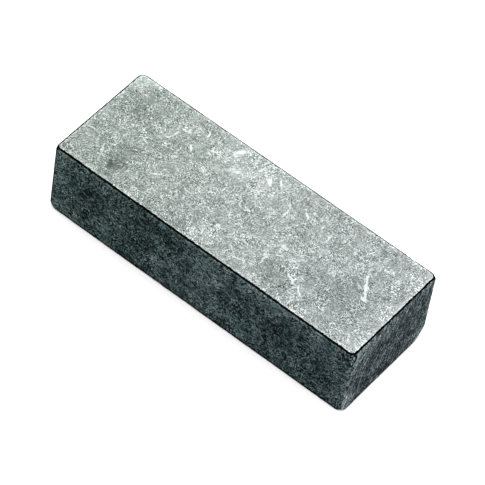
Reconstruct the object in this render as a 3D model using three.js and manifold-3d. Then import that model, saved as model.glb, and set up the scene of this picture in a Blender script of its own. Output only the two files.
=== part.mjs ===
// A sharpening whetstone: one block of natural stone, sawn to size and honed flat, with its
// sharp edges rubbed off, its corners worn by handling, and a few nicks along its edges.
//
// Millimetres. +X runs along the length, +Y across the width and +Z up.
// The origin is the middle of the face that the stone rests on.

import * as THREE from "three";
import { mergeVertices } from "three/addons/utils/BufferGeometryUtils.js";
import Module from "manifold-3d";

// Driving dimensions of the block.
const LENGTH = 100;
const WIDTH = 36;
const HEIGHT = 25;

// Radius of the long arrises around the top and the bottom face.
const ARRIS_RADIUS = 0.5;

// Radius of each upright corner, going round from the back left one.
const UPRIGHT_RADIUS = { backLeft: 2.2, frontLeft: 0.8, frontRight: 1.7, backRight: 0.8 };

// How far along its edges each block corner is worn away. A sign is the side of the block
// that the corner is on, along X, Y and Z.
const WORN_CORNERS = [
  { side: [1, 1, -1], reach: 4.6 },
  { side: [1, -1, -1], reach: 2.2 },
  { side: [-1, -1, -1], reach: 2.4 },
  { side: [-1, 1, -1], reach: 2.6 },
  { side: [-1, -1, 1], reach: 1.7 },
  { side: [1, 1, 1], reach: 1.9 },
  { side: [-1, 1, 1], reach: 1.8 },
];

// Nicks in the long arrises. A nick runs along X or Y, `at` its distance from the middle of
// that edge, on the side of the block that the two signs name (across the edge, then up).
// Its bite is how far it reaches into each of the two faces that meet there.
const NICKS = [
  { along: "x", side: [-1, 1], at: -20.0, length: 1.6, bite: 0.5 },
  { along: "x", side: [-1, 1], at: -35.5, length: 2.2, bite: 0.45 },
  { along: "x", side: [-1, 1], at: 17.5, length: 1.8, bite: 0.5 },
  { along: "x", side: [1, 1], at: 42.0, length: 2.4, bite: 0.45 },
  { along: "x", side: [-1, -1], at: -12.0, length: 2.6, bite: 0.5 },
  { along: "x", side: [1, -1], at: -27.0, length: 3.0, bite: 0.55 },
  { along: "y", side: [1, 1], at: 7.5, length: 1.8, bite: 0.45 },
  { along: "y", side: [-1, 1], at: 4.0, length: 2.0, bite: 0.45 },
];

// The flake that has come off the front right upright corner, just under the top. Its middle
// is on the plane of the right end, `inset` from the front side and `drop` under the top.
const FLAKE = { inset: 0.7, drop: 2.2, length: 2.8, bite: 0.75 };

const ARC_SEGMENTS = 6;
const ARRIS_SEGMENTS = 3;
const WEAR_SEGMENTS = 64;
const NICK_SEGMENTS = 14;

// Size of the ball that rounds a worn corner, as a multiple of the wear's reach.
const WEAR_BALL = 3.5;

const wasm = await Module();
wasm.setup();

// A closed three.js geometry as a solid that can be cut.
function toSolid(geometry) {
  const bare = geometry.clone();
  bare.deleteAttribute("normal");
  bare.deleteAttribute("uv");
  const merged = mergeVertices(bare);
  return new wasm.Manifold(
    new wasm.Mesh({
      numProp: 3,
      vertProperties: new Float32Array(merged.attributes.position.array),
      triVerts: new Uint32Array(merged.index.array),
    }),
  );
}

// A cut solid as a three.js geometry.
function toGeometry(solid) {
  const mesh = solid.getMesh();
  const geometry = new THREE.BufferGeometry();
  geometry.setAttribute("position", new THREE.BufferAttribute(mesh.vertProperties, 3));
  geometry.setIndex(new THREE.BufferAttribute(mesh.triVerts, 1));
  geometry.computeVertexNormals();
  return geometry;
}

// The block's outline from above, with its own radius at each upright corner.
function blockOutline() {
  const x = LENGTH / 2;
  const y = WIDTH / 2;
  const r = UPRIGHT_RADIUS;
  const quarter = Math.PI / 2;
  const outline = new THREE.Shape();
  outline.moveTo(-x + r.frontLeft, -y);
  outline.lineTo(x - r.frontRight, -y);
  outline.absarc(x - r.frontRight, -y + r.frontRight, r.frontRight, -quarter, 0);
  outline.lineTo(x, y - r.backRight);
  outline.absarc(x - r.backRight, y - r.backRight, r.backRight, 0, quarter);
  outline.lineTo(-x + r.backLeft, y);
  outline.absarc(-x + r.backLeft, y - r.backLeft, r.backLeft, quarter, 2 * quarter);
  outline.lineTo(-x, -y + r.frontLeft);
  outline.absarc(-x + r.frontLeft, -y + r.frontLeft, r.frontLeft, 2 * quarter, 3 * quarter);
  return outline;
}

// The sawn and honed block, before any wear.
function block() {
  const geometry = new THREE.ExtrudeGeometry(blockOutline(), {
    depth: HEIGHT - 2 * ARRIS_RADIUS,
    curveSegments: ARC_SEGMENTS,
    bevelThickness: ARRIS_RADIUS,
    bevelSize: ARRIS_RADIUS,
    bevelOffset: -ARRIS_RADIUS,
    bevelSegments: ARRIS_SEGMENTS,
  });
  geometry.translate(0, 0, ARRIS_RADIUS);
  return toSolid(geometry);
}

// What wear takes off one corner: all that lies outside a ball set into the block. The ball
// crosses each of the corner's three edges at the wear's reach.
function cornerWear({ side, reach }) {
  const inset = WEAR_BALL * reach;
  const radius = Math.hypot(inset - reach, inset, inset);
  const corner = new THREE.Vector3(
    (side[0] * LENGTH) / 2,
    (side[1] * WIDTH) / 2,
    ((side[2] + 1) * HEIGHT) / 2,
  );
  const inward = new THREE.Vector3(-side[0], -side[1], -side[2]);
  const ballCentre = corner.clone().addScaledVector(inward, inset);

  const ball = new THREE.SphereGeometry(radius, WEAR_SEGMENTS, WEAR_SEGMENTS / 2);
  ball.translate(...ballCentre);
  const corners = new THREE.BoxGeometry(2 * inset, 2 * inset, 2 * inset);
  corners.translate(...corner);
  return toSolid(corners).subtract(toSolid(ball));
}

// A nick: a long ellipsoid that lies on the arris, with its middle on the block's sharp edge.
function nick({ along, side, at, length, bite }) {
  const geometry = new THREE.SphereGeometry(1, NICK_SEGMENTS, NICK_SEGMENTS / 2);
  const up = ((side[1] + 1) * HEIGHT) / 2;
  if (along === "x") {
    geometry.scale(length / 2, bite, bite);
    geometry.translate(at, (side[0] * WIDTH) / 2, up);
  } else {
    geometry.scale(bite, length / 2, bite);
    geometry.translate((side[0] * LENGTH) / 2, at, up);
  }
  return toSolid(geometry);
}

// The flake's scar: an upright ellipsoid on the front right corner.
function flake() {
  const { inset, drop, length, bite } = FLAKE;
  const geometry = new THREE.SphereGeometry(1, NICK_SEGMENTS, NICK_SEGMENTS / 2);
  geometry.scale(bite, bite, length / 2);
  geometry.translate(LENGTH / 2, -WIDTH / 2 + inset, HEIGHT - drop);
  return toSolid(geometry);
}

// The whole stone: the block less its wear, its nicks and its flake.
function whetstone() {
  const cuts = [...WORN_CORNERS.map(cornerWear), ...NICKS.map(nick), flake()];
  return toGeometry(cuts.reduce((stone, cut) => stone.subtract(cut), block()));
}

const STONE = new THREE.MeshStandardMaterial({ color: 0x8f9a97, roughness: 0.85, metalness: 0 });

const stone = new THREE.Mesh(whetstone(), STONE);
stone.name = "whetstone_block";

const assembly = new THREE.Group();
assembly.add(stone);

export default assembly;
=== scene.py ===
"""A sharpening whetstone on a pale floor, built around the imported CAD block.

The stone is one piece. Its fine surface is made here: the sawn sides, the honed top, the
rubbed arrises, the worn corners and the small nicks, and then one procedural stone material.
The stone is worked out in millimetres until its mesh is made. The camera and the studio are
in metres.
"""

import math

import bpy
import numpy as np
from mathutils import Matrix, Vector, noise


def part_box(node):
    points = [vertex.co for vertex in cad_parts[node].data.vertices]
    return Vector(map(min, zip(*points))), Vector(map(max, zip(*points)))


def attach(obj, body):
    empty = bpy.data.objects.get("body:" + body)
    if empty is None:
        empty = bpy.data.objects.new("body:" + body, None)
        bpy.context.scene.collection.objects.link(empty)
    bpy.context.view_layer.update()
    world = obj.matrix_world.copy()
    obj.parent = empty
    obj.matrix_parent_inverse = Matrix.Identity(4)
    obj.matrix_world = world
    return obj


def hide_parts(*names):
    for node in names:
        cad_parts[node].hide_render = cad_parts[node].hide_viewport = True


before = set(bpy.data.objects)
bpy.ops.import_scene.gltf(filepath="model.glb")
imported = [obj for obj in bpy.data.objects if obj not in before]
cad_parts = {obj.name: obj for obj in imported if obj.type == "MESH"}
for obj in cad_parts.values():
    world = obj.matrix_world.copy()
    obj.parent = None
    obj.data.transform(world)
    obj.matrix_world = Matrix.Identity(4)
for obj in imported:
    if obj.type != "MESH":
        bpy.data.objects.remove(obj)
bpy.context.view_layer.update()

NODE = "whetstone_block"
MM = 0.001
MM_PER_METRE = 1000

LOW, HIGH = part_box(NODE)
LENGTH, WIDTH, HEIGHT = [side / MM for side in HIGH - LOW]
HALF_LENGTH = LENGTH / 2
HALF_WIDTH = WIDTH / 2

# The camera's place, as seen from the middle of the stone, in degrees and metres. These are
# the camera that was fitted to the outline of the stone in the photograph.
CAMERA_AZIMUTH = 30.98
CAMERA_ELEVATION = 51.3
CAMERA_ROLL = 9.97
CAMERA_DISTANCE = 9.832 * LENGTH * MM
CAMERA_OFFSET = (0.00646 * LENGTH * MM, -0.00676 * LENGTH * MM)
LENS = 276.8
SENSOR = 36.0
CLIP_START = 0.01
CLIP_END = 50

# The floor: a flat disc that bends up into a round wall. FLAT_RINGS are the radii of the
# rings of points inside the bend, and BEND_STEP is the angle from one to the next in it.
FLOOR_RADIUS = 1.7
FLAT_RINGS = (0.4, 1.0)
BEND_RADIUS = 0.7
BEND_STEP = 6
WALL_HEIGHT = 1.6
FLOOR_STEPS = 96
FLOOR_ALBEDO = 0.93
FLOOR_ROUGHNESS = 0.9
FLOOR_SPECULAR = 0.1
WORLD_STRENGTH = 0.91

# The stone's radii at its four upright corners and along its level arrises. A side is +1 or
# -1 along X and Y, and along Z too where there are three, as in the CAD block.
UPRIGHT_CORNERS = [((-1, 1), 2.2), ((-1, -1), 0.8), ((1, -1), 1.7), ((1, 1), 0.8)]
ARRIS_RADIUS = 0.5
LEAST_RADIUS = 0.25
MOST_RADIUS = 0.95

# The worn corners, and how far along its edges each is worn. The ball that rounds one is set
# in from it by WEAR_BALL times that reach along each axis. Shade is painted into two of them,
# out to a set reach from the corner.
WORN_CORNERS = [
    ((1, 1, -1), 4.6), ((1, -1, -1), 2.2), ((-1, -1, -1), 2.4), ((-1, 1, -1), 2.6),
    ((-1, -1, 1), 1.7), ((1, 1, 1), 1.9), ((-1, 1, 1), 1.8),
]
WEAR_BALL = 3.5
SHADED_CORNERS = [(1, 1, 1), (-1, -1, 1)]
CORNER_SHADE_REACH = 2.0

# Nicks in the long arrises: the axis it runs along, its side across and up, its place along
# the arris, its length, and how far it bites into each face.
NICKS = [
    ("x", (-1, 1), -20.0, 1.6, 0.5), ("x", (-1, 1), -35.5, 2.2, 0.45),
    ("x", (-1, 1), 17.5, 1.8, 0.5), ("x", (1, 1), 42.0, 2.4, 0.45),
    ("x", (-1, -1), -12.0, 2.6, 0.5), ("x", (1, -1), -27.0, 3.0, 0.55),
    ("y", (1, 1), 7.5, 1.8, 0.45), ("y", (-1, 1), 4.0, 2.0, 0.45),
]
SMALL_NICKS = 60
SMALL_NICK_SEED = 11
SMALL_NICK_MARGIN = 3
FLAKE_CENTRE = (HALF_LENGTH, -HALF_WIDTH + 0.7, HEIGHT - 2.2)
FLAKE_RADII = (0.75, 0.75, 1.4)

# Broad pale and dark patches of the stone, on its top (x, y), its front side (x, z) and its
# right end (y, z): the patch's middle, its two radii, and how much paler it is.
# The narrow pale bands along rounded edges are painted highlights, not the stone's own tone: (49.2, 0)
# on the top, (49.5, 12) on the front side, and (17.6, 12) and (17.9, 12) on the end.
TOP_PATCHES = [
    ((-8, 13), (13, 8), 0.05), ((-34.9, -11.5), (2.3, 4.6), -0.15), ((36, -4), (8, 7), -0.055),
    ((-15.8, 13.2), (0.6, 0.9), 0.12), ((15, -2.7), (1.5, 0.9), 0.08), ((19, -11), (4, 6), -0.05),
    ((46, 15), (7, 6), 0.05), ((-42, 7), (6, 5), -0.045), ((-49, -16), (5, 4), -0.05),
    ((-48, 16), (5, 4), 0.06), ((-40, -12), (11, 7), -0.03), ((47, -8), (4, 12), 0.05),
    ((24, 14), (8, 4), 0.02), ((49.2, 0), (1.2, 18), 0.07), ((-44, -13), (9, 6), -0.025),
    ((-46, 14), (5, 5), 0.02),
]
SIDE_PATCHES = [
    ((-20, 13), (9, 12), -0.05), ((28, 11), (5, 8), -0.05), ((43, 11), (5, 6), -0.04),
    ((-43, 8), (5, 5), -0.02), ((1, 14), (5, 9), 0.04), ((-32, 8), (3, 3), 0.03),
    ((-50, 13), (4, 14), 0.04), ((42, 24), (14, 3), 0.03), ((49.5, 12), (1.3, 14), 0.06),
    ((-33, 22), (8, 3), 0.045), ((18, 22), (9, 3), 0.04), ((44, 4), (5, 4), 0.05),
    ((29.5, 6), (1.6, 4), -0.05), ((-17, 21.5), (9, 1.6), -0.05), ((3, 21), (12, 4), 0.02),
    ((-31, 7), (17, 8), -0.035), ((3, 10), (7, 8), 0.02), ((-20, 23), (30, 2.5), 0.02),
]
END_PATCHES = [
    ((-14, 22), (6, 4), 0.13), ((-17.5, 4), (2, 9), 0.1), ((14, 22.5), (6, 3), 0.08),
    ((0, 8), (12, 7), -0.02), ((17.6, 12), (1.6, 14), 0.13), ((-11, 16), (1, 6), 0.07),
    ((-10.5, 4), (3, 4), -0.07), ((15, 3), (4, 3), 0.06), ((0, 23), (14, 1.5), 0.03),
    ((-3, 21.5), (7, 4), 0.04), ((-15, 21), (2.5, 5), 0.04), ((9, 21), (4, 4), -0.04),
    ((-16.5, 4), (2.5, 5), 0.06), ((1, 4), (5, 4), 0.03), ((0, 21), (3.5, 4), 0.06),
    ((7, 21), (3, 4), -0.03), ((15, 4), (3, 4), 0.03),
    ((-16.2, 4), (2.5, 5), 0.06), ((17.9, 12), (0.8, 14), 0.1), ((16.8, 3.2), (1.2, 1.4), 0.14),
    ((15.2, 1.6), (1.4, 1.2), 0.14), ((12, 0.8), (3, 0.9), 0.1),
]
STREAK_LEAN = 15.5

# The stone's albedo where it is palest. The studio is lit to bring that up to white.
PALEST = 0.66

# Lightness of each kind of face before its grain is added, from 0 to 1 as the eye sees it.
# The grain moves a face's mean away from this, most of all on the ends. Part of it is painted
# light: the top is paler, and the sides and the ends darker, than their honed and sawn finish
# alone would make them, with the light on the top and the shade on the sides and ends painted
# into their colour. The ends are the darkest.
HONED_LIT_TONE = 0.585
SAWN_SHADED_TONE = 0.305
END_SHADED_TONE = 0.213
PALE_MARK = 0.94
DARK_MARK = 0.38
# The tone of the painted shade along the arrises, round the foot and round the flake's scar.
SHADE_LINE_TONE = 0.02
FLAKE_TONE = 0.56

# How far each kind of face leans from grey towards green: what is added to its red, green
# and blue.
HONED_TINT = (-0.031, 0, -0.011)
SAWN_TINT = (-0.052, 0, 0.002)
END_TINT = (-0.042, 0, 0.004)

# What each millimetre towards the right end adds to that.
HUE_DRIFT = (0.0001, 0, 0.00014)

# The plainest single marks on the honed top: where a stroke starts and ends, half its width,
# how far it bows, and how much of the stone's own tone it covers.
TOP_STROKES = [
    ((36.2, 6.0), (38.4, 2.6), 0.42, -0.1, 0.77), ((37.6, 3.4), (41.0, -1.6), 0.62, -0.2, 0.86),
    ((39.9, -1.5), (41.3, -1.7), 0.75, 0.0, 0.77), ((35.8, 8.4), (36.5, 5.6), 0.4, 0.2, 0.39),
    ((36.6, 1.4), (38.3, 0.6), 0.36, 0.2, 0.6), ((20.3, -8.3), (25.3, -10.7), 0.42, -0.2, 0.73),
    ((25.5, -10.0), (28.4, -12.7), 0.45, 0.2, 0.73), ((23.9, -8.3), (23.5, -9.9), 0.4, 0.0, 0.69),
    ((19.0, -3.5), (19.6, -6.0), 0.34, 0.2, 0.56), ((13.1, -7.4), (13.9, -11.3), 0.42, 0.2, 0.6),
    ((21.5, 10.0), (22.1, 6.6), 0.45, 0.2, 0.65), ((12.2, 10.9), (14.1, 9.0), 0.5, 0.5, 0.82),
    ((8.2, 8.3), (8.5, 5.2), 0.42, 0.1, 0.69), ((0.4, 14.9), (1.8, 12.8), 0.42, 0.0, 0.86),
    ((13.6, -2.6), (16.4, -2.3), 0.7, 0.1, 0.45), ((5.4, -8.2), (9.4, -8.2), 0.4, 0.1, 0.47),
    ((41.0, 11.1), (41.7, 10.0), 0.4, 0.0, 0.65), ((34.6, -11.4), (35.1, -11.6), 0.55, 0.0, 0.69),
    ((9.3, -12.9), (10.7, -13.8), 0.4, 0.0, 0.52), ((28.2, -1.4), (30.6, -0.7), 0.34, 0.2, 0.39),
    ((13.4, 12.7), (14.3, 11.5), 0.42, 0.0, 0.52), ((-13.9, 13.0), (-12.3, 15.6), 1.25, 0.0, 0.5),
    ((-13.6, 13.8), (-12.6, 15.3), 0.7, 0.0, 0.6),
    ((-1.7, 12.7), (-0.6, 11.2), 0.65, 0.0, 0.86), ((-5.9, 12.5), (-4.8, 15.3), 0.6, 0.3, 0.52),
    ((-23.4, 14.3), (-22.9, 12.7), 0.42, 0.1, 0.65), ((-27.8, 11.8), (-27.3, 10.1), 0.42, 0.1, 0.65),
    ((-29.3, 8.8), (-29.9, 6.2), 0.4, 0.1, 0.6), ((-29.9, 6.4), (-31.0, 4.6), 0.4, 0.1, 0.6),
    ((-24.4, 7.3), (-22.9, 5.8), 0.5, 0.3, 0.77), ((-20.6, 9.4), (-14.4, 10.2), 0.42, 0.5, 0.56),
    ((-12.8, 7.3), (-8.4, 9.3), 0.8, 0.4, 0.38), ((-17.3, 3.2), (-15.6, 2.6), 1.1, 0.0, 0.3),
    ((-41.3, -8.0), (-39.9, -11.5), 0.42, 0.3, 0.56), ((-39.9, -11.5), (-38.5, -14.2), 0.4, 0.1, 0.43),
    ((-42.9, -8.9), (-41.9, -10.3), 0.42, 0.0, 0.43), ((-39.2, -1.0), (-39.1, -2.9), 0.42, 0.0, 0.52),
    ((-35.2, 0.1), (-33.1, -0.3), 0.38, 0.0, 0.56), ((-3.9, -12.0), (-3.5, -14.4), 0.42, 0.1, 0.65),
    ((-2.6, -9.4), (-1.7, -8.2), 0.36, -0.2, 0.69), ((-1.7, -8.2), (-1.1, -9.9), 0.36, -0.2, 0.69),
    ((-5.3, -1.2), (-3.7, 0.7), 0.5, 0.0, 0.43), ((-26.7, -15.0), (-25.4, -13.9), 0.4, 0.0, 0.47),
    ((-46.9, 13.8), (-45.3, 11.8), 0.4, 0.0, 0.34), ((-30.2, 3.6), (-28.7, 2.4), 0.6, 0.3, 0.43),
]
DARK_STROKES = [
    ((-36.6, -11.2), (-35.0, -13.6), 0.8, 0.3, 0.5), ((-34.6, -15.4), (-32.6, -15.8), 0.7, 0.2, 0.4),
    ((-35.4, -4.9), (-33.4, -5.0), 0.5, 0.0, 0.45), ((-25.9, 9.7), (-23.8, 9.6), 0.5, 0.0, 0.5),
    ((-21.5, 9.8), (-19.6, 9.7), 0.4, 0.0, 0.4), ((-20.2, -4.5), (-19.4, -5.2), 0.5, 0.0, 0.5),
    ((-0.9, -0.4), (1.7, -0.7), 0.5, 0.2, 0.55), ((18.4, -8.4), (19.8, -8.7), 0.6, 0.2, 0.5),
    ((37.4, -0.1), (38.6, -0.5), 0.4, 0.0, 0.6), ((23.0, 5.2), (25.4, 5.6), 0.6, 0.2, 0.35),
]

# The marks that the flake has left, in the same way, on the front right upright corner:
# across it from its middle, and up from the foot of the stone. The dark ones are painted shade
# round the scar's rim.
FLAKE_SHADE = [
    ((0.4, 24.5), (0.9, 23.9), 0.45, 0.0, 1.0), ((1.0, 23.7), (1.25, 22.3), 0.46, 0.0, 1.0),
    ((1.25, 22.2), (0.9, 21.2), 0.44, 0.0, 1.0), ((0.15, 23.1), (0.2, 22.4), 0.36, 0.0, 0.9),
    ((-0.3, 21.2), (-0.2, 20.2), 0.34, 0.0, 0.95), ((-0.15, 20.0), (0.3, 19.95), 0.34, 0.0, 0.95),
    ((0.4, 20.2), (0.42, 21.0), 0.3, 0.0, 0.8),
]
FLAKE_PALE = [
    ((0.64, 23.2), (0.58, 22.2), 0.36, 0.0, 1.0), ((1.7, 24.2), (1.8, 22.3), 0.55, 0.0, 0.9),
    ((1.8, 22.4), (1.45, 20.9), 0.46, 0.0, 0.85), ((0.06, 21.2), (0.06, 20.6), 0.28, 0.0, 0.8),
    ((1.3, 20.8), (0.85, 19.5), 0.4, 0.0, 0.7),
]

# Scatters of bent fibres over the honed top, painted in this order: the cell of the scatter,
# a fibre's half length and half width, its seed, the share of cells that have one, how much
# of the stone's own tone it covers, and its lightness.
TOP_FIBRES = [
    (1.7, 0.62, 0.14, 3, 0.6, 0.4, PALE_MARK), (3.4, 0.9, 0.2, 2, 0.6, 0.55, PALE_MARK),
    (8.0, 1.5, 0.26, 1, 0.5, 0.6, PALE_MARK), (5.0, 0.6, 0.24, 4, 0.6, 0.5, DARK_MARK),
]

# The stone's surface: its gloss, and how rough it is where it is sawn and where it is honed.
STONE_SPECULAR = 0.01
SAWN_ROUGHNESS = 0.65
HONED_ROUGHNESS = 0.85

# A point is on an end or on a flat where its normal reaches further than this along X or Z.
FACING = 0.7

# The mesh's grid, which is finer within a band along each arris.
FINE_BAND = 1.4
FINE_STEP = 0.175
LENGTH_STEP = 0.36
WIDTH_STEP = 0.5
HEIGHT_STEP = 0.5


# ---------------------------------------------------------------- the camera and the studio

def add_camera():
    """The camera, rolled a little, so that the stone lies as it does in the photograph."""
    azimuth = math.radians(CAMERA_AZIMUTH)
    elevation = math.radians(CAMERA_ELEVATION)
    back = Vector((
        math.sin(azimuth) * math.cos(elevation),
        -math.cos(azimuth) * math.cos(elevation),
        math.sin(elevation),
    ))
    level = Vector((0, 0, 1)).cross(back).normalized()
    upright = back.cross(level)
    roll = math.radians(CAMERA_ROLL)
    right = math.cos(roll) * level + math.sin(roll) * upright
    up = math.cos(roll) * upright - math.sin(roll) * level
    middle = (LOW + HIGH) / 2
    place = middle + back * CAMERA_DISTANCE + right * CAMERA_OFFSET[0] + up * CAMERA_OFFSET[1]

    data = bpy.data.cameras.new("camera")
    data.lens = LENS
    data.sensor_width = SENSOR
    data.clip_start = CLIP_START
    data.clip_end = CLIP_END
    camera = bpy.data.objects.new("camera", data)
    turn = Matrix((right, up, back)).transposed()
    camera.matrix_world = Matrix.Translation(place) @ turn.to_4x4()
    bpy.context.scene.collection.objects.link(camera)
    bpy.context.scene.camera = camera


def around(azimuth, elevation, distance):
    """A place that far from the stone. Azimuth 0 is in front of it, and 90 past its +X end."""
    azimuth, elevation = math.radians(azimuth), math.radians(elevation)
    return Vector((
        math.sin(azimuth) * math.cos(elevation),
        -math.cos(azimuth) * math.cos(elevation),
        math.sin(elevation),
    )) * distance


def add_light(name, place, size, watts):
    """A square, white softbox at `place`, facing the stone."""
    data = bpy.data.lights.new(name, "AREA")
    data.shape = "SQUARE"
    data.size = size
    data.energy = watts
    light = bpy.data.objects.new(name, data)
    light.location = place
    light.rotation_euler = (Vector(place)).to_track_quat("Z", "Y").to_euler()
    bpy.context.scene.collection.objects.link(light)


def floor_rings():
    """The floor's rings from the inside out: the radius and the height of each."""
    rings = [(radius, 0.0) for radius in FLAT_RINGS]
    for degrees in range(0, 91, BEND_STEP):
        a = math.radians(degrees)
        radius = FLOOR_RADIUS + BEND_RADIUS * math.sin(a)
        rings.append((radius, BEND_RADIUS * (1 - math.cos(a))))
    rings.append((FLOOR_RADIUS + BEND_RADIUS, WALL_HEIGHT))
    return rings


def add_floor():
    """The plain pale floor, which turns up into a wall all round."""
    rings = floor_rings()
    verts = [(0, 0, 0)]
    for radius, height in rings:
        for step in range(FLOOR_STEPS):
            turn = 2 * math.pi * step / FLOOR_STEPS
            verts.append((radius * math.cos(turn), radius * math.sin(turn), height))
    faces = []
    for step in range(FLOOR_STEPS):
        after = (step + 1) % FLOOR_STEPS
        faces.append((0, 1 + step, 1 + after))
        for ring in range(len(rings) - 1):
            inner = 1 + ring * FLOOR_STEPS
            outer = inner + FLOOR_STEPS
            faces.append((inner + step, outer + step, outer + after, inner + after))
    mesh = bpy.data.meshes.new("floor")
    mesh.from_pydata(verts, [], faces)
    mesh.shade_smooth()
    floor = bpy.data.objects.new("floor", mesh)
    bpy.context.scene.collection.objects.link(floor)
    paint = bpy.data.materials.new("pale_floor")
    paint.use_nodes = True
    shader = paint.node_tree.nodes["Principled BSDF"]
    shader.inputs["Base Color"].default_value = (FLOOR_ALBEDO, FLOOR_ALBEDO, FLOOR_ALBEDO, 1)
    shader.inputs["Roughness"].default_value = FLOOR_ROUGHNESS
    shader.inputs["Specular IOR Level"].default_value = FLOOR_SPECULAR
    mesh.materials.append(paint)


def add_world():
    """An even white world, seen through the plain view transform."""
    world = bpy.data.worlds.new("world")
    world.use_nodes = True
    background = world.node_tree.nodes["Background"]
    background.inputs["Color"].default_value = (1, 1, 1, 1)
    background.inputs["Strength"].default_value = WORLD_STRENGTH
    bpy.context.scene.world = world
    bpy.context.scene.view_settings.view_transform = "Standard"


def add_lights():
    """Three softboxes: over the stone, behind it to the left, and low past its right end."""
    add_light("overhead", (0, 0, 2.2), 2.4, 50.2)
    add_light("back_key", around(211, 58, 2.0), 1.6, 10.5)
    add_light("end_fill", around(100, 25, 1.5), 0.6, 5.25)


# ---------------------------------------------------------------- the stone's mesh

def stations(length, step):
    """Grid lines along one side of the block, closer together near both ends."""
    edge = np.linspace(0, FINE_BAND, round(FINE_BAND / FINE_STEP) + 1)
    inner = length - 2 * FINE_BAND
    middle = np.linspace(FINE_BAND, length - FINE_BAND, round(inner / step) + 1)
    return np.concatenate([edge, middle[1:], length - edge[::-1][1:]])


def box_shell(xs, ys, zs):
    """The surface of a box as one closed grid: its points and its quads, facing out."""
    count = (len(xs), len(ys), len(zs))
    i, j, k = np.meshgrid(*[np.arange(n) for n in count], indexing="ij")
    outer = (i == 0) | (j == 0) | (k == 0)
    outer |= (i == count[0] - 1) | (j == count[1] - 1) | (k == count[2] - 1)
    index = np.full(count, -1)
    index[outer] = np.arange(outer.sum())
    points = np.stack([xs[i[outer]], ys[j[outer]], zs[k[outer]]], axis=1)
    quads = []
    for axis in range(3):
        for end in (0, -1):
            sheet = np.take(index, end, axis=axis)
            ring = [sheet[:-1, :-1], sheet[1:, :-1], sheet[1:, 1:], sheet[:-1, 1:]]
            if (end == 0) != (axis == 1):
                ring.reverse()
            quads.append(np.stack([corner.ravel() for corner in ring], axis=1))
    return points, np.concatenate(quads)


def round_uprights(points):
    """Rounds the four upright corners. Returns how deep each point lies inside the block's
    outline from above, and which way is out of it there."""
    x, y = points[:, 0], points[:, 1]
    gap_x = HALF_LENGTH - np.abs(x)
    gap_y = HALF_WIDTH - np.abs(y)
    depth = np.minimum(gap_x, gap_y)
    out = np.zeros((len(points), 2))
    out[:, 0] = np.where(gap_x < gap_y, np.sign(x), 0)
    out[:, 1] = np.where(gap_x < gap_y, 0, np.sign(y))
    for (side_x, side_y), radius in UPRIGHT_CORNERS:
        u = 1 - (HALF_LENGTH - side_x * x) / radius
        v = 1 - (HALF_WIDTH - side_y * y) / radius
        near = (u > 0) & (v > 0)
        u, v = u[near], v[near]
        reach = np.hypot(u, v)
        squeeze = np.maximum(u, v) / reach
        x[near] = side_x * (HALF_LENGTH - radius + u * squeeze * radius)
        y[near] = side_y * (HALF_WIDTH - radius + v * squeeze * radius)
        depth[near] = radius * (1 - np.maximum(u, v))
        out[near] = np.stack([side_x * u / reach, side_y * v / reach], axis=1)
    return depth, out


def noise_at(points, size, seed, octaves=3):
    """Smooth noise of that feature size at each point, from about -1 to 1."""
    shift = Vector((seed * 17.3, seed * 5.1, seed * 29.7))
    return np.array([
        noise.fractal(Vector(p) / size + shift, 1.0, 2.0, octaves) for p in points
    ])


def round_arrises(points, depth, out):
    """Rolls the sides into the top and the bottom, by a radius that wanders along the
    arris."""
    for level, up in ((HEIGHT, 1), (0, -1)):
        band = (depth < 2 * ARRIS_RADIUS) & (np.abs(level - points[:, 2]) < 2 * ARRIS_RADIUS)
        foot = points[band].copy()
        foot[:, :2] += out[band] * depth[band, None]
        foot[:, 2] = level
        radius = ARRIS_RADIUS * (1 + 0.12 * noise_at(foot, 4.0, 1) + 0.16 * noise_at(foot, 0.7, 2))
        radius = np.clip(radius, LEAST_RADIUS, MOST_RADIUS)
        a = 1 - depth[band] / radius
        b = 1 - np.abs(level - points[band, 2]) / radius
        near = (a > 0) & (b > 0)
        a, b, radius = a[near], b[near], radius[near]
        chosen = np.flatnonzero(band)[near]
        squeeze = np.maximum(a, b) / np.hypot(a, b)
        points[chosen, :2] -= out[chosen] * (radius * a * (1 - squeeze))[:, None]
        points[chosen, 2] = level - up * radius * (1 - b * squeeze)


def block_corner(side):
    """Where the block's sharp corner on that side would be."""
    return np.array([HALF_LENGTH, HALF_WIDTH, HEIGHT / 2]) * side + [0, 0, HEIGHT / 2]


def gap(points, side):
    """How far each point is from the block's sharp corner on that side."""
    return np.linalg.norm(points - block_corner(side), axis=1)


def wear_corner(points, side, reach):
    """Draws in what stands outside a ball set into the block at one corner."""
    side = np.array(side, float)
    corner = block_corner(side)
    inset = WEAR_BALL * reach
    radius = math.sqrt((inset - reach) ** 2 + 2 * inset ** 2)
    centre = corner - side * inset
    offset = points - centre
    distance = np.linalg.norm(offset, axis=1)
    worn = (offset * side > 0).all(axis=1) & (distance > radius)
    points[worn] = centre + offset[worn] * (radius / distance[worn])[:, None]


def cut(points, centre, radii, inward):
    """Moves the points inside an ellipsoid along `inward` to its far wall, as a scar.
    Returns which points those are."""
    inward = np.array(inward, float)
    q = (points - centre) / radii
    d = inward / radii
    a = d @ d
    b = q @ d
    c = (q * q).sum(axis=1) - 1
    inside = c < 0
    travel = (-b[inside] + np.sqrt(b[inside] ** 2 - a * c[inside])) / a
    points[inside] += travel[:, None] * inward
    return inside


def cut_nick(points, along, side, at, length, bite):
    """A nick in one arris: a long ellipsoid with its middle on the block's sharp edge."""
    across, up = side
    level = HEIGHT if up > 0 else 0
    if along == "x":
        centre = (at, across * HALF_WIDTH, level)
        radii = (length / 2, bite, bite)
        inward = (0, -across, -up)
    else:
        centre = (across * HALF_LENGTH, at, level)
        radii = (bite, length / 2, bite)
        inward = (-across, 0, -up)
    return cut(points, centre, radii, inward)


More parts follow.
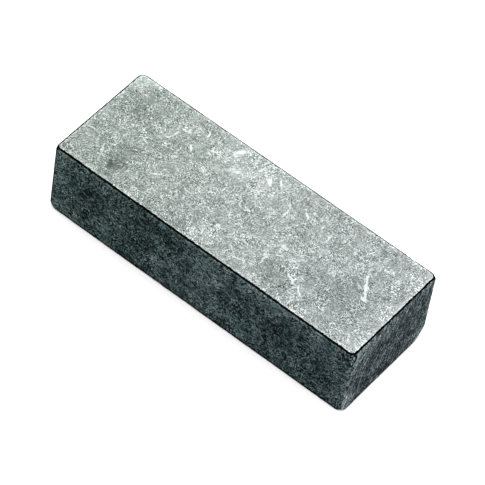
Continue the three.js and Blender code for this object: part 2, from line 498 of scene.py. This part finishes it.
def small_nicks(count, seed):
    """Many tiny nicks, scattered along the eight level arrises. Each has six random draws
    for its arris, place, length and bite, always in the same order."""
    rng = np.random.default_rng(seed)
    nicks = []
    for _ in range(count):
        along = "x" if rng.random() < LENGTH / (LENGTH + WIDTH) else "y"
        reach = (HALF_LENGTH if along == "x" else HALF_WIDTH) - SMALL_NICK_MARGIN
        side = (rng.choice([-1, 1]), rng.choice([-1, 1]))
        at = rng.uniform(-reach, reach)
        length = rng.uniform(0.5, 1.4)
        bite = rng.uniform(0.3, 0.42)
        nicks.append((along, side, at, length, bite))
    return nicks


def cut_flake(points):
    """The flake that has come off the front right upright corner, under the top."""
    return cut(points, FLAKE_CENTRE, FLAKE_RADII, (-1, 1, 0))


def new_mesh(name, points, quads):
    """A smooth mesh in metres, from points in millimetres."""
    mesh = bpy.data.meshes.new(name)
    mesh.from_pydata((points * MM).tolist(), [], quads.tolist())
    mesh.shade_smooth()
    return mesh


def set_attribute(mesh, name, values):
    """Stores one number for each point, for the material to read."""
    attribute = mesh.attributes.new(name, "FLOAT", "POINT")
    attribute.data.foreach_set("value", values.astype(np.float32))


def relief(points, normals, scar):
    """Adds the low swell and grain of the sawn faces, next to none on the honed top, and
    the rough break of the scars."""
    top = np.clip((normals[:, 2] - 0.7) / 0.25, 0, 1)
    swell = noise_at(points, 7.0, 3, 2) * 0.05
    grain = noise_at(points, 0.9, 4, 2) * 0.025
    rough = noise_at(points, 0.5, 5, 2) * 0.05 * scar
    amount = (swell + grain) * (1 - 0.85 * top) + rough
    return points + normals * amount[:, None]


def patchwork(across, up, patches):
    """The sum of soft round patches at each point of a face."""
    total = np.zeros(len(across))
    for (middle_a, middle_b), (radius_a, radius_b), amount in patches:
        distance = ((across - middle_a) / radius_a) ** 2 + ((up - middle_b) / radius_b) ** 2
        total += amount * np.exp(-distance)
    return total


def clouds(points, normals):
    """How much paler or darker than its face the stone is at each point."""
    x, y, z = points.T
    top = patchwork(x, y, TOP_PATCHES)
    side = patchwork(x, z, SIDE_PATCHES)
    end = patchwork(y, z, END_PATCHES)
    facing_x, facing_y, facing_z = np.abs(normals.T)
    return np.where(facing_z > FACING, top, np.where(facing_x > FACING, end, side))


def build_stone():
    """The stone as one closed grid with its wear, and what its material needs to know."""
    xs = stations(LENGTH, LENGTH_STEP) - HALF_LENGTH
    ys = stations(WIDTH, WIDTH_STEP) - HALF_WIDTH
    zs = stations(HEIGHT, HEIGHT_STEP)
    points, quads = box_shell(xs, ys, zs)
    depth, out = round_uprights(points)
    round_arrises(points, depth, out)
    rim = np.minimum(points[:, 2], HEIGHT - points[:, 2])
    rim = np.where(rim < 1e-6, depth, rim)
    for side, reach in WORN_CORNERS:
        wear_corner(points, side, reach)
    # Which points take the painted shade of two worn corners.
    corner_shade = np.any([gap(points, side) < CORNER_SHADE_REACH for side in SHADED_CORNERS], axis=0)
    scar = np.zeros(len(points), bool)
    for nick in NICKS + small_nicks(SMALL_NICKS, SMALL_NICK_SEED):
        scar |= cut_nick(points, *nick)
    scar |= cut_flake(points)

    draft = new_mesh("draft", points, quads)
    normals = np.zeros(len(points) * 3, np.float32)
    draft.vertex_normals.foreach_get("vector", normals)
    bpy.data.meshes.remove(draft)
    normals = normals.reshape(-1, 3)
    points = relief(points, normals, scar)

    mesh = new_mesh("whetstone", points, quads)
    set_attribute(mesh, "honed", np.clip((normals[:, 2] - 0.8) / 0.15, 0, 1))
    set_attribute(mesh, "rim", rim)
    set_attribute(mesh, "cloud", clouds(points, normals))
    set_attribute(mesh, "corner_shade", corner_shade.astype(float))
    stone = bpy.data.objects.new("whetstone", mesh)
    bpy.context.scene.collection.objects.link(stone)
    return stone


# ---------------------------------------------------------------- the stone's material

class Graph:
    """Adds nodes to one material, so that a layer of it reads as a line or two. A value is
    a number or another node's output socket. Sizes are in millimetres."""

    def __init__(self, tree):
        self.tree = tree

    def add(self, kind, inputs, **settings):
        node = self.tree.nodes.new(kind)
        for name, value in settings.items():
            setattr(node, name, value)
        for key, value in inputs.items():
            if isinstance(value, bpy.types.NodeSocket):
                self.tree.links.new(value, node.inputs[key])
            else:
                node.inputs[key].default_value = value
        return node

    def math(self, operation, *values):
        node = self.add("ShaderNodeMath", dict(enumerate(values)), operation=operation)
        return node.outputs[0]

    def total(self, first, *rest):
        for value in rest:
            first = self.math("ADD", first, value)
        return first

    def product(self, first, *rest):
        for value in rest:
            first = self.math("MULTIPLY", first, value)
        return first

    def vector(self, operation, *values):
        node = self.add("ShaderNodeVectorMath", dict(enumerate(values)), operation=operation)
        return node.outputs[0]

    def combine(self, x, y, z):
        return self.add("ShaderNodeCombineXYZ", {0: x, 1: y, 2: z}).outputs[0]

    def split(self, vector):
        return self.add("ShaderNodeSeparateXYZ", {0: vector}).outputs

    def attribute(self, name):
        return self.add("ShaderNodeAttribute", {}, attribute_name=name).outputs["Fac"]

    def noise(self, place, size, seed, detail=2.0, rough=0.5, distortion=0.0):
        """Smooth noise of that feature size, from about -0.5 to 0.5."""
        shifted = self.vector("ADD", place, (seed * 13.7, seed * 7.9, seed * 21.1))
        node = self.add("ShaderNodeTexNoise", {
            "Vector": shifted, "Scale": 1 / size, "Detail": detail, "Roughness": rough,
            "Distortion": distortion,
        })
        return self.math("SUBTRACT", node.outputs["Fac"], 0.5)

    def ease(self, value, low, high, full=1.0):
        """0 at `low` and beyond it, `full` at `high` and beyond it, and smooth between."""
        node = self.add(
            "ShaderNodeMapRange",
            {"Value": value, "From Min": low, "From Max": high, "To Max": full},
            interpolation_type="SMOOTHSTEP",
        )
        return node.outputs["Result"]

    def blend(self, factor, a, b):
        """a where factor is 0, b where it is 1."""
        node = self.add("ShaderNodeMix", {0: factor, 2: a, 3: b})
        return node.outputs[0]

    def pick(self, factor, a, b):
        """blend(), for two vectors."""
        node = self.add("ShaderNodeMix", {0: factor, 4: a, 5: b}, data_type="VECTOR")
        return node.outputs[1]


def strands(g, place, size, width, seed, share):
    """Short curly strands: stretches of the line along which a noise is zero."""
    wave = g.noise(place, size, seed, detail=0.6, distortion=0.5)
    line = g.math("SUBTRACT", 1, g.ease(g.math("ABSOLUTE", wave), 0, width))
    gate = g.ease(g.noise(place, size * 1.3, seed + 3, detail=0), share, share + 0.1)
    return g.product(line, gate)


def fibres(g, flat, cell, length, width, seed, share):
    """Single bent fibres, each in its own cell of a scatter, turned at random."""
    shifted = g.vector("ADD", flat, (seed * 31.3, seed * 11.7, 0))
    scatter = g.add(
        "ShaderNodeTexVoronoi", {"Vector": shifted, "Scale": 1 / cell, "Randomness": 1.0},
        voronoi_dimensions="2D", feature="F1",
    )
    chance = g.add("ShaderNodeSeparateColor", {0: scatter.outputs["Color"]}).outputs
    local = g.vector("SUBTRACT", shifted, scatter.outputs["Position"])
    turned = g.add(
        "ShaderNodeVectorRotate", {"Vector": local, "Angle": g.product(chance[0], 2 * math.pi)},
        rotation_type="Z_AXIS",
    ).outputs[0]
    along, across, _ = g.split(turned)
    bend = g.product(g.math("SUBTRACT", chance[2], 0.5), 0.7 / length)
    across = g.math("SUBTRACT", across, g.product(bend, along, along))
    u = g.math("DIVIDE", along, length)
    v = g.math("DIVIDE", across, width)
    inside = g.math("SUBTRACT", 1, g.total(g.product(u, u), g.product(v, v)))
    there = g.math("GREATER_THAN", chance[1], 1 - share)
    return g.product(g.ease(inside, 0, 0.8), there)


def felt(g, flat, cell, length, width, seed):
    """Matted fibres: patches of parallel streaks, each patch turned its own way."""
    warp = g.add("ShaderNodeTexNoise", {"Vector": flat, "Scale": 1.6 / cell, "Detail": 1.0})
    shifted = g.vector("ADD", flat, (seed * 23.9, seed * 41.3, 0))
    warped = g.vector("ADD", shifted, g.vector("MULTIPLY", warp.outputs["Color"], (cell, cell, 0)))
    scatter = g.add(
        "ShaderNodeTexVoronoi", {"Vector": warped, "Scale": 1 / cell},
        voronoi_dimensions="2D", feature="F1",
    )
    chance = g.add("ShaderNodeSeparateColor", {0: scatter.outputs["Color"]}).outputs
    turned = g.add(
        "ShaderNodeVectorRotate", {"Vector": shifted, "Angle": g.product(chance[0], 2 * math.pi)},
        rotation_type="Z_AXIS",
    ).outputs[0]
    stretched = g.vector("MULTIPLY", turned, (1 / length, 1 / width, 0))
    return g.noise(stretched, 1.0, seed, detail=0.5)


def stroke(g, x, y, start, end, width, bow, cover):
    """One stroke from start to end: `cover` along its middle and 0 off it, bowed sideways."""
    middle = ((start[0] + end[0]) / 2, (start[1] + end[1]) / 2)
    reach = math.dist(start, end) / 2 + width
    turn = math.atan2(end[1] - start[1], end[0] - start[0])
    c = math.cos(turn)
    s = math.sin(turn)
    along = g.math("MULTIPLY_ADD", x, c / reach, -(middle[0] * c + middle[1] * s) / reach)
    along = g.math("MULTIPLY_ADD", y, s / reach, along)
    across = g.math("MULTIPLY_ADD", x, -s / width, (middle[0] * s - middle[1] * c) / width)
    across = g.math("MULTIPLY_ADD", y, c / width, across)
    square = g.product(along, along)
    bowed = g.math("MULTIPLY_ADD", square, bow / width, across)
    distance = g.math("MULTIPLY_ADD", bowed, bowed, square)
    return g.ease(distance, 1, 0.1, cover)


def paint(g, x, y, tone, marks, colour):
    """Paints strokes of one lightness over another."""
    for mark in marks:
        tone = g.blend(stroke(g, x, y, *mark), tone, colour)
    return tone


def flecks(g, value, low, high, gain):
    """A noise cut off at both ends, so that only its dark or its pale peaks are left."""
    return g.product(g.math("MINIMUM", g.math("MAXIMUM", value, low), high), gain)


def honed_lit_tone(g, place, flat):
    """Lightness of the honed top: pale, partly as painted light, and clouded, fine-grained and full of
    short fibres.
    """
    busy = g.total(1.1, g.product(g.noise(place, 4.5, 8, detail=1), 2.6))
    busy = g.math("MAXIMUM", busy, 0.65)
    fine = g.total(
        flecks(g, g.noise(place, 0.32, 1, detail=0), -1, 0.05, 0.8),
        flecks(g, felt(g, flat, 2.2, 0.85, 0.25, 1), -0.05, 1, 1.0),
        g.product(felt(g, flat, 4.5, 1.5, 0.42, 2), 0.26),
    )
    layers = [
        HONED_LIT_TONE,
        g.product(fine, busy),
        g.product(g.noise(place, 2.2, 3, detail=0, distortion=0.5), 0.13),
        g.product(g.noise(place, 4.0, 4, detail=1, distortion=0.5), 0.18),
        g.product(g.noise(place, 18.0, 5, detail=1), 0.14),
        g.product(strands(g, place, 2.4, 0.04, 9, 0.02), 0.1),
    ]
    tone = g.total(*layers)
    wander = g.add("ShaderNodeTexNoise", {"Vector": flat, "Scale": 0.8, "Detail": 2.0})
    offset = g.vector("MULTIPLY_ADD", wander.outputs["Color"], (1.3, 1.3, 0), (-0.65, -0.65, 0))
    wandering = g.vector("ADD", flat, offset)
    for cell, length, width, seed, share, cover, colour in TOP_FIBRES:
        scatter = fibres(g, wandering, cell, length, width, seed, share)
        tone = g.blend(g.product(scatter, cover), tone, colour)
    x, y, _ = g.split(wandering)
    tone = paint(g, x, y, tone, TOP_STROKES, PALE_MARK)
    return paint(g, x, y, tone, DARK_STROKES, DARK_MARK)


def sawn_shaded_tone(g, place, flat):
    """Lightness of the sawn sides: dark, partly as painted shade, and mottled with darker flecks and a
    few pale needles.
    """
    busy = g.total(0.95, g.product(g.noise(place, 5.0, 18, detail=1), 2.0))
    upright = g.vector("MULTIPLY", flat, (0.9, 1.05, 0))
    fine = g.total(
        g.product(g.noise(upright, 0.36, 11, detail=0), 0.56),
        flecks(g, felt(g, upright, 2.4, 1.1, 0.36, 12), -1, 0.0, 1.75),
        g.product(felt(g, upright, 4.0, 1.6, 0.5, 17), 0.2),
    )
    layers = [
        SAWN_SHADED_TONE,
        g.product(fine, busy),
        flecks(g, g.noise(place, 1.1, 13, detail=0), -1, 0.06, 0.3),
        g.product(g.noise(place, 4.0, 14, detail=1, distortion=0.5), 0.28),
        g.product(g.noise(place, 12.0, 15, detail=1), 0.28),
        g.product(strands(g, place, 1.6, 0.05, 16, 0.0), 0.05),
    ]
    return g.total(*layers)


def end_shaded_tone(g, place, flat):
    """Lightness of the two ends: dark, partly as painted shade; the saw and the grain leave leaning,
    near-upright streaks.
    """
    lean = math.radians(STREAK_LEAN)
    x, y, z = g.split(place)
    across = g.math("SUBTRACT", g.product(y, math.cos(lean)), g.product(z, math.sin(lean)))
    along = g.total(g.product(y, math.sin(lean)), g.product(z, math.cos(lean)))
    streaked = g.combine(x, across, g.product(along, 0.17))
    broad = g.combine(x, across, g.product(along, 0.1))
    layers = [
        END_SHADED_TONE,
        g.product(g.noise(streaked, 0.4, 31, detail=0), 0.78),
        g.product(g.noise(broad, 1.6, 33, detail=1), 0.13),
        g.product(g.noise(place, 0.38, 34, detail=0), 0.82),
        g.product(g.noise(place, 6.0, 35, detail=1), 0.2),
    ]
    return g.total(*layers)


def between(g, value, start, full, fade, end):
    """0 up to `start`, 1 from `full` to `fade`, and 0 again from `end` on."""
    return g.product(g.ease(value, start, full), g.math("SUBTRACT", 1, g.ease(value, fade, end)))


def arris_shade_lines(g, place, normal, rim):
    """Painted shade in the level arrises, down the front left upright corner and in two worn
    corners: 1 on a thin ragged line, 0 off it. The shade line is widest round the foot, narrow on
    the right end, and laps onto the honed top."""
    rag = g.product(g.noise(place, 0.4, 41, detail=1), 0.45)
    out_x, out_y, out_z = g.split(normal)
    near_foot = g.math("LESS_THAN", g.split(place)[2], HEIGHT / 2)
    spread = g.total(
        rim, rag,
        g.product(g.ease(out_z, 0.93, 0.99), -0.14),
        g.product(g.ease(out_x, 0.3, 0.6), 0.07),
        g.product(near_foot, -0.62),
    )
    level = g.math("SUBTRACT", 1, g.ease(spread, 0.26, 0.4))
    from_left = g.total(g.split(place)[0], HALF_LENGTH, rag)
    front_left = g.math("SUBTRACT", 1, g.ease(from_left, 0.5, 0.75))
    front_left = g.product(front_left, g.math("LESS_THAN", out_y, -0.2))
    corner = g.product(g.attribute("corner_shade"), between(g, out_z, 0.1, 0.25, 0.9, 0.97))
    return g.math("MAXIMUM", g.math("MAXIMUM", level, front_left), corner)


def flake_tone(g, place, tone):
    """The flake's scar: painted shade round its rim, and pale within and beside it."""
    x, y, z = g.split(place)
    across = g.product(g.total(x, y, HALF_WIDTH - HALF_LENGTH), math.sqrt(0.5))
    scarred = paint(g, across, z, tone, FLAKE_SHADE, SHADE_LINE_TONE)
    scarred = paint(g, across, z, scarred, FLAKE_PALE, FLAKE_TONE)
    return g.blend(g.math("LESS_THAN", y, 0), tone, scarred)


def stone_colour(g, tone, tint):
    """Albedo for a lightness, leaning from grey by the tint."""
    channels = g.split(g.vector("ADD", g.combine(tone, tone, tone), tint))
    eased = [g.math("POWER", g.math("MAXIMUM", channel, 0.004), 2.2) for channel in channels]
    return g.vector("MULTIPLY", g.combine(*eased), (PALEST, PALEST, PALEST))


def stone_material():
    """The whole stone's material: each face's tone, partly painted light and shade, then patches, a
    painted highlight and painted shade along the arrises, the flake and tint.
    """
    material = bpy.data.materials.new("natural_stone")
    material.use_nodes = True
    g = Graph(material.node_tree)
    shader = material.node_tree.nodes["Principled BSDF"]
    shader.inputs["Specular IOR Level"].default_value = STONE_SPECULAR

    metres = g.add("ShaderNodeTexCoord", {}).outputs["Object"]
    place = g.vector("MULTIPLY", metres, (MM_PER_METRE, MM_PER_METRE, MM_PER_METRE))
    x, y, z = g.split(place)
    normal = g.add("ShaderNodeNewGeometry", {}).outputs["Normal"]
    facing = g.vector("ABSOLUTE", normal)
    facing_x, _, facing_z = g.split(facing)
    on_end = g.math("GREATER_THAN", facing_x, FACING)
    on_flat = g.math("GREATER_THAN", facing_z, FACING)
    flat = g.pick(on_end, g.combine(x, z, 0), g.combine(y, z, 0))
    flat = g.pick(on_flat, flat, g.combine(x, y, 0))

    honed = g.attribute("honed")
    # The sides and ends are darker than the top partly as painted shade, and the top paler partly as
    # painted light.
    sawn = g.blend(on_end, sawn_shaded_tone(g, place, flat), end_shaded_tone(g, place, flat))
    tone = g.blend(honed, sawn, honed_lit_tone(g, place, flat))
    # Patches of tone, with a few narrow painted highlights along the edges among them.
    tone = g.math("ADD", tone, g.attribute("cloud"))
    rim = g.attribute("rim")
    # A painted highlight: a pale band along every arris, just inside the painted shade line, paler on
    # the top than on the sides.
    inner = g.math("SUBTRACT", 1, g.ease(rim, 0.45, 1.5))
    tone = g.math("ADD", tone, g.product(inner, g.blend(honed, 0.07, 0.12)))
    # Painted shade: a dark line along the arrises, widest round the foot, down the front left upright
    # corner and in two worn corners.
    tone = g.blend(arris_shade_lines(g, place, normal, rim), tone, SHADE_LINE_TONE)
    tone = flake_tone(g, place, tone)
    tint = g.pick(honed, g.pick(on_end, SAWN_TINT, END_TINT), HONED_TINT)
    hue = g.product(g.noise(place, 7.0, 42, detail=2), g.blend(honed, 0.035, 0.018))
    drift = g.vector("MULTIPLY", g.combine(x, x, x), HUE_DRIFT)
    tint = g.vector("ADD", g.vector("ADD", tint, drift), g.combine(hue, 0, g.product(hue, 0.3)))
    colour = stone_colour(g, tone, tint)
    material.node_tree.links.new(colour, shader.inputs["Base Color"])
    rough = g.blend(honed, SAWN_ROUGHNESS, HONED_ROUGHNESS)
    material.node_tree.links.new(rough, shader.inputs["Roughness"])

    height = g.total(
        g.product(g.noise(place, 0.5, 21, detail=2, rough=0.6), g.blend(honed, 0.12, 0.03)),
        g.product(g.noise(place, 1.6, 22, detail=1), g.blend(honed, 0.12, 0.02)),
    )
    bump = g.add("ShaderNodeBump", {"Strength": 1.0, "Distance": MM, "Height": height})
    material.node_tree.links.new(bump.outputs["Normal"], shader.inputs["Normal"])
    return material


add_camera()
add_floor()
add_world()
add_lights()
stone = build_stone()
stone.data.materials.append(stone_material())
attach(stone, "root")
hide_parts(NODE)
